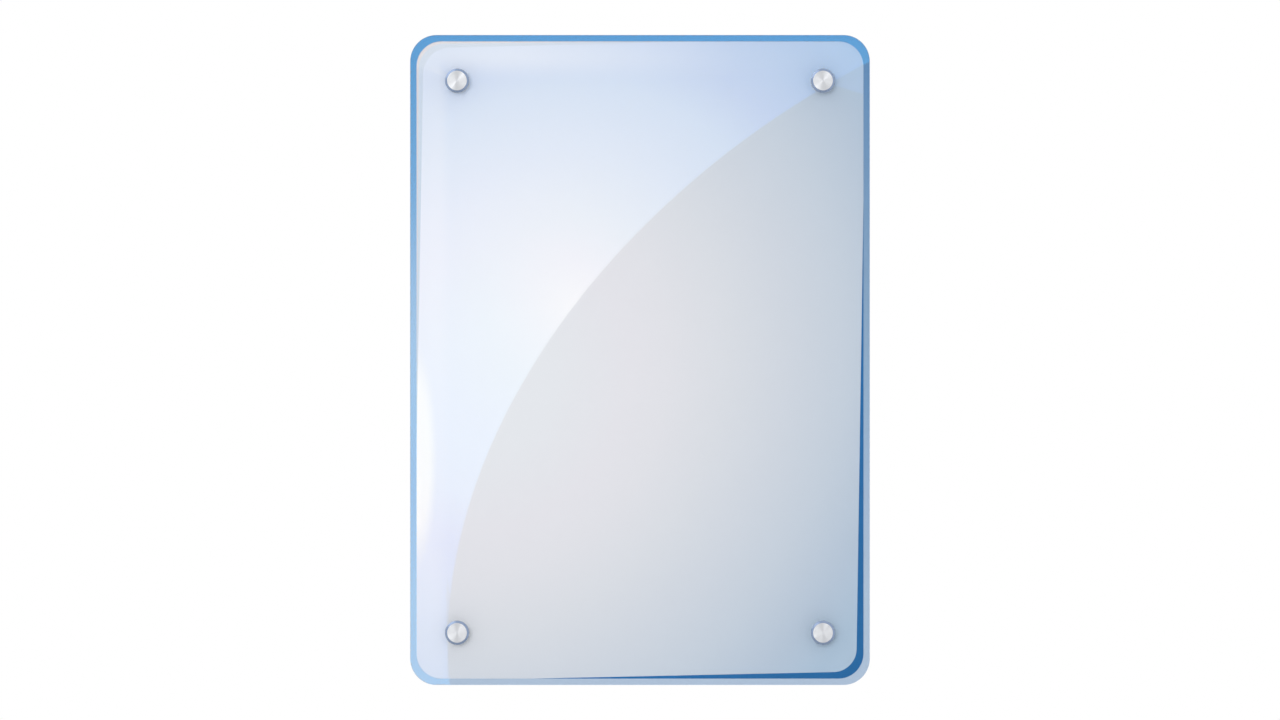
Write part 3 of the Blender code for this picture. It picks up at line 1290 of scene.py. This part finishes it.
@dataclass
class Cap(Fixing):
    """The turned cap: a slightly domed front with a centre mark, a wide bevel, and a socket behind."""

    kind: str = "cap"
    slot: Slot = Slot.CAP
    finishes: tuple[Finish, ...] = (CAP_FACE, CAP_SIDE_PAINTED_SHADE)
    face_radius: float = 8.9 * MM
    bevel_depth: float = 1.6 * MM
    back_chamfer: float = 0.3 * MM
    over_socket: float = 1.5 * MM
    dome: float = 0.30 * MM
    dome_rings: int = 6
    mark: float = 0.20 * MM
    mark_share: float = 1 / 36
    facing: float = -0.95

    def model(self) -> Blank:
        """Turn the cap from the end of its socket round to its front.

        Returns:
            The cap.
        """
        size, chamfer = self.size, self.back_chamfer
        shoulder = size.front - self.bevel_depth
        cap = Turning("turned_cap", self.bore_radius, size.front - self.over_socket, self.steps, filled=True)
        cap.to(
            (self.bore_radius, size.back + chamfer),
            (self.bore_radius + chamfer, size.back),
            (size.radius - chamfer, size.back),
            (size.radius, size.back + chamfer),
            (size.radius, shoulder),
        )
        shares = [1 - ring / self.dome_rings for ring in range(self.dome_rings)] + [self.mark_share]
        cap.to(*((self.face_radius * share, size.front - self.dome * share**2) for share in shares))
        cap.point(size.front - self.mark)
        rims = [(size.radius, shoulder), (self.face_radius, size.front - self.dome)]
        return cap.soften(self.edge, *rims, steps=self.edge_steps)

    def dress(self, copy: bpy.types.Object, place: Place, centre: Point) -> None:
        """Give the faced front one finish, and the bevel, the side and the back the other, whose darker
        blue-grey is painted shade.

        Args:
            copy: The copy.
            place: Its corner of the board.
            centre: Its axis, across and up.
        """
        super().dress(copy, place, centre)
        for face in copy.data.polygons:
            face.material_index = 0 if face.normal.y < self.facing else 1


@dataclass
class Stud(Fixing):
    """The M8 stud, its ends bevelled to the depth of the thread."""

    kind: str = "stud"
    slot: Slot = Slot.STUD
    finishes: tuple[Finish, ...] = (STUD_STEEL,)
    pitch: float = 1.25 * MM
    depth_share: float = 0.6134
    crest_share: float = 1 / 8
    root_share: float = 1 / 4
    overrun: float = 0.2 * MM

    def model(self) -> Blank:
        """Thread a bar, and keep what lies within the bevelled stud.

        Returns:
            The stud.
        """
        size, over = self.size, self.overrun
        depth = self.depth_share * self.pitch
        core = size.radius - depth
        thread = Thread(self.pitch, size.radius, core, self.crest_share, self.root_share)
        stud = thread.bar("threaded_stud", size.back - over, size.front + over)
        bar = Turning("bar", core, size.back, self.steps, filled=True)
        bar.to(
            (size.radius + over, size.back + depth + over),
            (size.radius + over, size.front - depth - over),
            (core, size.front),
        )
        return stud.combine("INTERSECT", bar)


@dataclass
class NylonRing(Fixing):
    """A moulded washer or sleeve that keeps the metal of a corner off the board."""

    slot: Slot = Slot.NYLON
    finishes: tuple[Finish, ...] = (RING_NYLON,)

    def model(self) -> Blank:
        """Turn the ring, and round its four edges.

        Returns:
            The ring.
        """
        size, bore = self.size, self.bore_radius
        ring = Turning("moulded_" + self.kind, bore, size.back, self.steps, filled=False)
        ring.to((size.radius, size.back), (size.radius, size.front), (bore, size.front)).close()
        rims = [(radius, depth) for radius in (bore, size.radius) for depth in (size.back, size.front)]
        return ring.soften(self.edge, *rims, steps=self.edge_steps)


@dataclass
class Barrel(Fixing):
    """The turned standoff barrel: bored for the stud, with a web at the wall for the screw."""

    kind: str = "barrel"
    slot: Slot = Slot.BARREL
    finishes: tuple[Finish, ...] = (BARREL_METAL,)
    edge_steps: int = 2
    chamfer: float = 0.5 * MM
    web: float = 3.5 * MM
    mouth: float = 0.4 * MM

    def model(self) -> Blank:
        """Turn the barrel from the screw's hole, round its outside, to the bore.

        Returns:
            The barrel.
        """
        size, chamfer = self.size, self.chamfer
        bore, hole = self.bore_radius, self.screw_hole_radius
        barrel = Turning("turned_barrel", hole, size.back, self.steps, filled=False)
        barrel.to(
            (size.radius - chamfer, size.back),
            (size.radius, size.back + chamfer),
            (size.radius, size.front - chamfer),
            (size.radius - chamfer, size.front),
            (bore + self.mouth, size.front),
            (bore, size.front - self.mouth),
            (bore, size.back + self.web),
            (hole, size.back + self.web),
        )
        barrel.close()
        rims = [(size.radius, size.back + chamfer), (size.radius, size.front - chamfer)]
        return barrel.soften(self.edge, *rims, steps=self.edge_steps)


@dataclass
class WallScrew(Fixing):
    """The wall screw: a pan head with a cross recess, and a coarse thread that ends in a point."""

    kind: str = "wall_screw"
    slot: Slot = Slot.SCREW
    finishes: tuple[Finish, ...] = (SCREW_STEEL,)
    steps: int = 48
    edge: float = 0.5 * MM
    shank_radius: float = 1.75 * MM
    core_radius: float = 1.2 * MM
    pitch: float = 1.6 * MM
    crest_share: float = 0.08
    root_share: float = 0.5
    thread_steps: int = 32
    point_length: float = 4.0 * MM
    tip_radius: float = 0.12 * MM
    overrun: float = 0.02 * MM
    neck_length: float = 2.0 * MM
    neck_sunk: float = 0.4 * MM
    plain_length: float = 1.0 * MM
    head_height: float = 2.4 * MM
    crown: float = 1.0 * MM
    dome: float = 0.35 * MM
    recess_depth: float = 1.3 * MM
    recess_arm: float = 1.8 * MM
    recess_half_width: float = 0.45 * MM
    recess_floor_share: float = 0.7
    recess_overrun: float = 1.0 * MM

    def model(self) -> Blank:
        """Thread a bar, cut it to its point, and put the head on it.

        Returns:
            The screw.
        """
        size, over = self.size, self.overrun
        shank, core = self.shank_radius, self.core_radius
        under_head = size.front - self.head_height
        neck = under_head - self.neck_length
        thread = Thread(self.pitch, shank, core, self.crest_share, self.root_share, self.thread_steps)
        screw = thread.bar("threaded_wall_screw", size.back - over, neck + over)
        envelope = Turning("envelope", self.tip_radius, size.back, self.steps, filled=True)
        envelope.to(
            (shank + over, size.back + self.point_length),
            (shank + over, neck - self.pitch),
            (core - over, neck),
        )
        screw.combine("INTERSECT", envelope)
        return screw.combine("UNION", self.head(neck, under_head))

    def head(self, neck: float, under_head: float) -> Blank:
        """Turn the head with the plain shank below it, and sink its recess.

        Args:
            neck: Depth at which the thread ends.
            under_head: Depth of the head's flat underside.

        Returns:
            The head.
        """
        size, sunk = self.size, self.neck_sunk
        rim = (size.radius, size.front - self.crown - self.dome)
        head = Turning("head", self.core_radius - sunk / 2, neck - sunk, self.steps, filled=True)
        head.to(
            (self.core_radius, neck),
            (self.shank_radius, under_head - self.plain_length),
            (self.shank_radius, under_head),
            (size.radius, under_head),
            rim,
            (size.radius - self.crown, size.front - self.dome / 2),
            (size.radius / 3, size.front),
        )
        head.point(size.front)
        head.soften(self.edge, rim, steps=self.edge_steps)
        return head.combine("DIFFERENCE", self.recess(size.front))

    def recess(self, front: float) -> Blank:
        """Make the tool for the cross recess, drawn in towards its floor.

        Args:
            front: Depth of the top of the screw's head.

        Returns:
            The tool.
        """
        floor, mouth = front - self.recess_depth, front + self.recess_overrun
        rings = []
        for depth, share in ((floor, self.recess_floor_share), (mouth, 1.0)):
            out, side = self.recess_arm * share, self.recess_half_width * share
            corners = [(out, -side), (out, side), (side, side)]
            turns = ((1, 0), (0, 1), (-1, 0), (0, -1))
            points = [(x * a - z * b, x * b + z * a) for a, b in turns for x, z in corners]
            rings.append(Blank.outline("recess", points, [0.0] * len(points), depth, steps=1))
        return rings[0].loft(rings[1])


@dataclass
class WallPlug(Fixing):
    """The moulded wall plug: a collar, barbs that point out of the wall, and a split end."""

    kind: str = "wall_plug"
    slot: Slot = Slot.PLUG
    finishes: tuple[Finish, ...] = (PLUG_NYLON,)
    steps: int = 48
    edge: float = 0.2 * MM
    edge_steps: int = 2
    collar: float = 2.0 * MM
    collar_slope: float = 0.3 * MM
    plain_length: float = 3.0 * MM
    barbs: int = 8
    barb_height: float = 0.45 * MM
    barb_slope: float = 0.2 * MM
    lead: float = 4.0 * MM
    lead_taper: float = 0.6 * MM
    split_length: float = 18.0 * MM
    split_width: float = 1.0 * MM
    overrun: float = 1.0 * MM

    def model(self) -> Blank:
        """Turn the plug with its collar and barbs, and saw its end.

        Returns:
            The plug.
        """
        size, hole, over = self.size, self.screw_hole_radius, self.overrun
        root, under_collar = size.radius - self.barb_height, size.front - self.collar
        barb_start = under_collar - self.plain_length
        barb_length = (barb_start - size.back - self.lead) / self.barbs
        plug = Turning("ribbed_plug", hole, size.front, self.steps, filled=False)
        plug.to((size.radius, size.front), (size.radius, under_collar))
        plug.to((root, under_collar - self.collar_slope))
        for barb in range(self.barbs):
            top = barb_start - barb * barb_length
            plug.to((root, top), (size.radius, top - self.barb_slope))
        plug.to((root, size.back + self.lead), (size.radius - self.lead_taper, size.back), (hole, size.back))
        plug.close()
        plug.soften(self.edge, (size.radius, size.front), steps=self.edge_steps)
        length = self.split_length + over
        saw = Blank.box(
            "saw",
            (2 * size.radius + over, length, self.split_width),
            (0.0, -(size.back - over + length / 2), 0.0),
        )
        return plug.combine("DIFFERENCE", saw)


def is_seen(owner: bpy.types.Material | bpy.types.World) -> bpy.types.Node:
    """Give a factor of one for rays that look at a thing, straight, in gloss or through glass.

    Args:
        owner: The material or world that reads it.

    Returns:
        The node that gives the factor.
    """
    path = add_node(owner, "LightPath").outputs
    indirect = {0: path["Is Glossy Ray"], 1: path["Is Transmission Ray"]}
    gloss = add_node(owner, "Math", indirect, operation="MAXIMUM")
    return add_node(owner, "Math", {0: path["Is Camera Ray"], 1: gloss}, operation="MAXIMUM")


@dataclass(frozen=True)
class FrameLight:
    """White light along one side of the window, with a soft edge.

    Attributes:
        none: Where its soft edge ends.
        full: Where it has its whole strength.
        ends: The two places along the side between which its strength changes.
        shares: Its strength at those two places.
    """

    none: float
    full: float
    ends: Point
    shares: Point

    def shown(
        self, made: bpy.types.Material, across: bpy.types.NodeSocket, along: bpy.types.NodeSocket
    ) -> bpy.types.Node:
        """Give the light's share at a place of the card.

        Args:
            made: The card's material.
            across: Place across the side.
            along: Place along the side.

        Returns:
            The node that gives the share.
        """
        step = {"Value": across, "From Min": self.none, "From Max": self.full}
        edge = add_node(made, "MapRange", step, interpolation_type="SMOOTHSTEP")
        (start, end), (first, last) = self.ends, self.shares
        change = {"Value": along, "From Min": start, "From Max": end, "To Min": first, "To Max": last}
        strength = add_node(made, "MapRange", change)
        return add_node(made, "Math", {0: edge, 1: strength}, operation="MULTIPLY")


@dataclass(frozen=True)
class WindowLight(Finish):
    """What the glass mirrors: the light of a window with an oval edge.

    Places and sizes are those that show on the board.

    Attributes:
        enlarge: How much larger its card is than its picture on the board.
        depth: The card's distance out from the wall.
        brightness: Strength of its light.
        shine_centre: Centre of a soft oval of other colour.
        shine_radii: The oval's two radii.
        shine_reach: Where the oval fades out and where it is full, as shares of its radii.
        shine_colour: Its colour.
    """

    enlarge: float
    depth: float
    brightness: float
    shine_centre: Point
    shine_radii: Point
    shine_reach: Point
    shine_colour: str
    edge_centre: Point = (420 * MM, -130 * MM)
    edge_radii: Point = (454 * MM, 628 * MM)
    edge_tilt: float = math.radians(62.8)
    edge_blur: float = 0.0015

    def place(
        self, made: bpy.types.Material, centre: Point, radii: Point, tilt: float = 0.0
    ) -> bpy.types.NodeSocket:
        """Give coordinates on the card as they show on the board, along an oval's radii."""
        grown = [(a * self.enlarge, b * self.enlarge) for a, b in (centre, radii)]
        return from_point(made, *grown, tilt, self.depth)

    def away(
        self, made: bpy.types.Material, centre: Point, radii: Point, tilt: float = 0.0
    ) -> bpy.types.NodeSocket:
        """Give the distance from an oval's centre, which is one at its edge."""
        where = self.place(made, centre, radii, tilt)
        return add_node(made, "VectorMath", {0: where}, operation="LENGTH").outputs["Value"]

    def plain_colour(self, made: bpy.types.Material) -> object:
        """Give the colour round the soft oval, as linear RGBA or as the node that makes it."""
        raise NotImplementedError

    def shader(self, made: bpy.types.Material) -> bpy.types.Node:
        """Let the card shine outside the oval edge, and leave it dark within.

        Only the sharp gloss of the glass sees it. The satin metal looks through it to the white studio.

        Args:
            made: The card's material.

        Returns:
            The node that gives the surface.
        """
        plain = self.plain_colour(made)
        outer, inner = self.shine_reach
        distance = self.away(made, self.shine_centre, self.shine_radii)
        near = {"Value": distance, "From Min": outer, "From Max": inner}
        shining = {
            "Fac": add_node(made, "MapRange", near, interpolation_type="SMOOTHSTEP"),
            "Color1": plain,
            "Color2": linear(self.shine_colour),
        }
        colour = add_node(made, "MixRGB", shining)
        edge = self.away(made, self.edge_centre, self.edge_radii, self.edge_tilt)
        low, high = 1 - self.edge_blur, 1 + self.edge_blur
        step = {"Value": edge, "From Min": low, "From Max": high, "To Max": self.brightness}
        light = {"Color": colour, "Strength": add_node(made, "MapRange", step)}
        shown = {
            "Fac": add_node(made, "LightPath").outputs["Is Singular Ray"],
            1: add_node(made, "BsdfTransparent"),
            2: add_node(made, "Emission", light),
        }
        made.cycles.emission_sampling = "NONE"
        return add_node(made, "MixShader", shown)


@dataclass(frozen=True)
class RimLight(WindowLight):
    """The part of the window that shows in the enamelled rim.

    It is brighter, because the rim has no second clear surface behind it.
    """

    brightness: float = 6.3
    shine_centre: Point = (-208 * MM, 25 * MM)
    shine_radii: Point = (30 * MM, 170 * MM)
    shine_reach: Point = (1.0, 0.0)
    shine_colour: str = "#AAD7FD"
    pane_colour: str = "#21A1DE"

    def plain_colour(self, made: bpy.types.Material) -> object:
        """Give the blue of the window's panes."""
        return linear(self.pane_colour)


@dataclass(frozen=True)
class FaceLight(WindowLight):
    """The part of the window that shows in the face: pale blue, with whiter light beside its frame."""

    brightness: float = 3.74
    shine_centre: Point = (-204 * MM, -90 * MM)
    shine_radii: Point = (17 * MM, 95 * MM)
    shine_reach: Point = (1.15, 0.6)
    shine_colour: str = "#FFF4C5"
    glow_centre: Point = (-60 * MM, 50 * MM)
    glow_radius: float = 300 * MM
    glow: tuple[Stop, ...] = (
        (0.00, "#C4C1B9"),
        (0.13, "#A8ACB2"),
        (0.27, "#8CA3B1"),
        (0.47, "#7996BB"),
        (0.67, "#6C92BD"),
        (0.83, "#145EB4"),
        (1.00, "#296FB6"),
    )
    side_light: FrameLight = FrameLight(-172 * MM, -184 * MM, (-50 * MM, 250 * MM), (0.3, 0.88))
    top_light: FrameLight = FrameLight(254 * MM, 278 * MM, (-110 * MM, 90 * MM), (1.0, 0.12))
    frame_colour: str = "#C1C3D2"

    def plain_colour(self, made: bpy.types.Material) -> object:
        """Lay the white light along the left and the top over the blue glow.

        Args:
            made: The card's material.

        Returns:
            The node that makes the colour.
        """
        glow = self.away(made, self.glow_centre, (self.glow_radius, self.glow_radius))
        veil = add_node(made, "ValToRGB", {"Fac": glow}, self.glow)
        where = add_node(made, "SeparateXYZ", {"Vector": self.place(made, (0.0, 0.0), (1.0, 1.0))}).outputs
        side = self.side_light.shown(made, where["X"], where["Z"])
        top = self.top_light.shown(made, where["Z"], where["X"])
        either = add_node(made, "Math", {0: side, 1: top}, operation="MAXIMUM")
        framed = {"Fac": either, "Color1": veil, "Color2": linear(self.frame_colour)}
        return add_node(made, "MixRGB", framed)


@dataclass(frozen=True)
class PaintedPlaster(Finish):
    """The pale matt floor, faintly cloudy. To the eye it fades into the white round it.

    Attributes:
        radius: Radius of the floor.
    """

    radius: float
    light: str = "#F1F2F3"
    dark: str = "#EFF0F1"
    fade_share: float = 0.35
    cloud_size: float = 30 * MM

    def shader(self, made: bpy.types.Material) -> bpy.types.Node:
        """Add the plaster, and the white that it fades into.

        Args:
            made: The material that takes the nodes.

        Returns:
            The node that gives the surface.
        """
        where = add_node(made, "TexCoord").outputs["Object"]
        flat = add_node(made, "VectorMath", {0: where, 1: (1.0, 1.0, 0.0)}, operation="MULTIPLY")
        distance = add_node(made, "VectorMath", {0: flat}, operation="LENGTH").outputs["Value"]
        reach = {"Value": distance, "From Min": self.fade_share * self.radius, "From Max": self.radius}
        fade = add_node(made, "MapRange", reach, interpolation_type="SMOOTHSTEP")
        shown = add_node(made, "Math", {0: fade, 1: is_seen(made)}, operation="MULTIPLY")
        clouds = add_node(made, "TexNoise", {"Vector": where, "Scale": 1 / self.cloud_size, "Detail": 4.0})
        colour = add_node(made, "ValToRGB", {"Fac": clouds}, [(0.3, self.dark), (0.7, self.light)])
        plaster = add_node(made, "BsdfPrincipled", {"Base Color": colour, "Roughness": 0.8})
        white = add_node(made, "Emission", {"Color": linear("#FFFFFF"), "Strength": 1.0})
        return add_node(made, "MixShader", {"Fac": shown, 1: plaster, 2: white})


@dataclass(frozen=True)
class Lamp:
    """A round soft light that faces the board's centre.

    Attributes:
        name: Its name.
        position: Where it hangs.
        size: Its diameter.
        power: Its power in watts.
        in_gloss: Whether it only shows in gloss. Otherwise it only lights matt surfaces.
    """

    name: str
    position: tuple[float, float, float]
    size: float
    power: float
    in_gloss: bool = True

    @classmethod
    def spot(cls, azimuth: float, power: float) -> "Lamp":
        """Make a far lamp beside the board's axis, which gives each faced cap two bright fans.

        Args:
            azimuth: Its direction from that axis, in degrees counter-clockwise from the right.
            power: Its power in watts.

        Returns:
            The lamp.
        """
        turn, aside, far, size = math.radians(azimuth), 5.2, 12.0, 2.4
        position = (aside * math.cos(turn), -far, aside * math.sin(turn))
        return cls(f"spot_{azimuth:.0f}", position, size, power)

    def hang(self) -> None:
        """Put the lamp in the scene."""
        data = bpy.data.lights.new(self.name, "AREA")
        data.shape = "DISK"
        data.size = self.size
        data.energy = self.power
        lamp = bpy.data.objects.new(self.name, data)
        lamp.location = self.position
        lamp.rotation_euler = (-Vector(self.position)).to_track_quat("-Z", "Y").to_euler()
        lamp.visible_camera = False
        lamp.visible_glossy = self.in_gloss
        lamp.visible_diffuse = not self.in_gloss
        bpy.context.scene.collection.objects.link(lamp)


@dataclass
class Studio:
    """The camera, the lamps, the pale floor, and the window whose reflection shows in the glass.

    Attributes:
        spots: Azimuth in degrees and power in watts of each far lamp that makes the caps' fans.
    """

    board: Board
    pixels_across: int = 1280
    metres_per_pixel: float = 0.9144 * MM
    lens: float = 135.0
    sensor: float = 36.0
    floor_height: float = -1.25
    floor_radius: float = 2.5
    ambient: float = 0.78
    window_distance: float = 4.0
    window_margin: float = 60 * MM
    card_gap: float = 1.0 * MM
    spots: tuple[Point, ...] = ((56.0, 72.0), (135.0, 35.0), (160.0, 58.0), (190.0, 34.0), (215.0, 70.0))

    @property
    def camera_depth(self) -> float:
        """Distance of the camera out from the wall."""
        outline = self.board.glass.back + self.board.rim_depth
        return outline + self.pixels_across * self.metres_per_pixel * self.lens / self.sensor

    def build(self) -> None:
        """Set up everything that isn't part of the object."""
        self.place_camera()
        self.light_world()
        Lamp("key_lamp", position=(-2.1, -12.0, 2.1), size=4.8, power=420.0, in_gloss=False).hang()
        Lamp("corner_panel", position=(-1.5, -0.6, 1.8), size=2.4, power=10.0).hang()
        for azimuth, power in self.spots:
            Lamp.spot(azimuth, power).hang()
        self.lay_floor()
        self.hang_window()

    def place_camera(self) -> None:
        """Face the board squarely from far off, as the photograph does."""
        data = bpy.data.cameras.new("camera")
        data.lens = self.lens
        data.sensor_width = self.sensor
        camera = bpy.data.objects.new("camera", data)
        camera.location = (0.0, -self.camera_depth, 0.0)
        camera.rotation_euler = (QUARTER_TURN, 0.0, 0.0)
        bpy.context.scene.collection.objects.link(camera)
        bpy.context.scene.camera = camera

    def light_world(self) -> None:
        """Make the world white to look at and in reflections, and a plain soft light elsewhere."""
        world = bpy.data.worlds.new("white_studio")
        world.use_nodes = True
        world.node_tree.nodes.clear()
        strength = add_node(world, "MapRange", {"Value": is_seen(world), "To Min": self.ambient})
        light = add_node(world, "Background", {"Color": linear("#FFFFFF"), "Strength": strength})
        add_node(world, "OutputWorld", {"Surface": light})
        bpy.context.scene.world = world

    def lay_floor(self) -> None:
        """Lay a round pale floor that keeps the board's shadow and fades into the white round it."""
        leave_edit_mode()
        bpy.ops.mesh.primitive_circle_add(
            vertices=96, radius=self.floor_radius, fill_type="NGON", location=(0.0, 0.0, self.floor_height)
        )
        floor = Blank("floor")
        floor.select(Part.FACE, lambda face: True)
        bpy.ops.mesh.inset(thickness=self.floor_radius / 2)
        leave_edit_mode()
        floor.obj.data.materials.append(PaintedPlaster("pale_plaster", self.floor_radius).material())

    def hang_window(self) -> None:
        """Hang two cards before the board that only its gloss can see: a window in a dark wall.

        They hang where the glass mirrors them into the camera, so their pattern is written at the
        board's own size and enlarged by the same perspective.
        """
        board = self.board
        to_camera = self.camera_depth - board.glass.front
        enlarge = (to_camera + self.window_distance) / to_camera
        depth = board.glass.front + self.window_distance
        face = FaceLight("window_light", enlarge, depth)
        rim = RimLight("window_light_on_rim", enlarge, depth)
        for name, light, inset, radius, behind in (
            ("window", face, board.rim_width, board.rim_corner_radius, 0.0),
            ("window_rim", rim, -self.window_margin, 0.0, self.card_gap),
        ):
            corners = [(x * enlarge, z * enlarge) for x, z in board.glass.corners(inset)]
            card = Blank.outline(name, corners, [radius * enlarge] * 4, depth + behind, board.corner_steps)
            card.select(Part.EDGE, lambda edge: True)
            bpy.ops.mesh.edge_face_add()
            leave_edit_mode()
            card.obj.data.materials.append(light.material())
            for way in ("camera", "diffuse", "shadow", "volume_scatter"):
                setattr(card.obj, "visible_" + way, False)


def main() -> None:
    """Build the board, its fixings and the studio."""
    logging.basicConfig(level=logging.INFO, format="%(message)s")
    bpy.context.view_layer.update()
    bpy.context.scene.view_settings.view_transform = "Standard"
    places = {place: Extent.of("cap_" + place.value).middle for place in Place}
    board = Board(
        glass=Extent.of("glass_pane"),
        film=Extent.of("backing_film"),
        sheet=Extent.of("steel_sheet"),
        sleeve=Extent.of("hole_sleeve_top_left"),
        holes=places,
    )
    board.build()
    Cap(places).build()
    Stud(places).build()
    for kind in ("front_washer", "rear_washer", "hole_sleeve"):
        NylonRing(places, kind).build()
    Barrel(places).build()
    WallScrew(places).build()
    WallPlug(places).build()
    Studio(board).build()


if __name__ == "__main__":
    main()
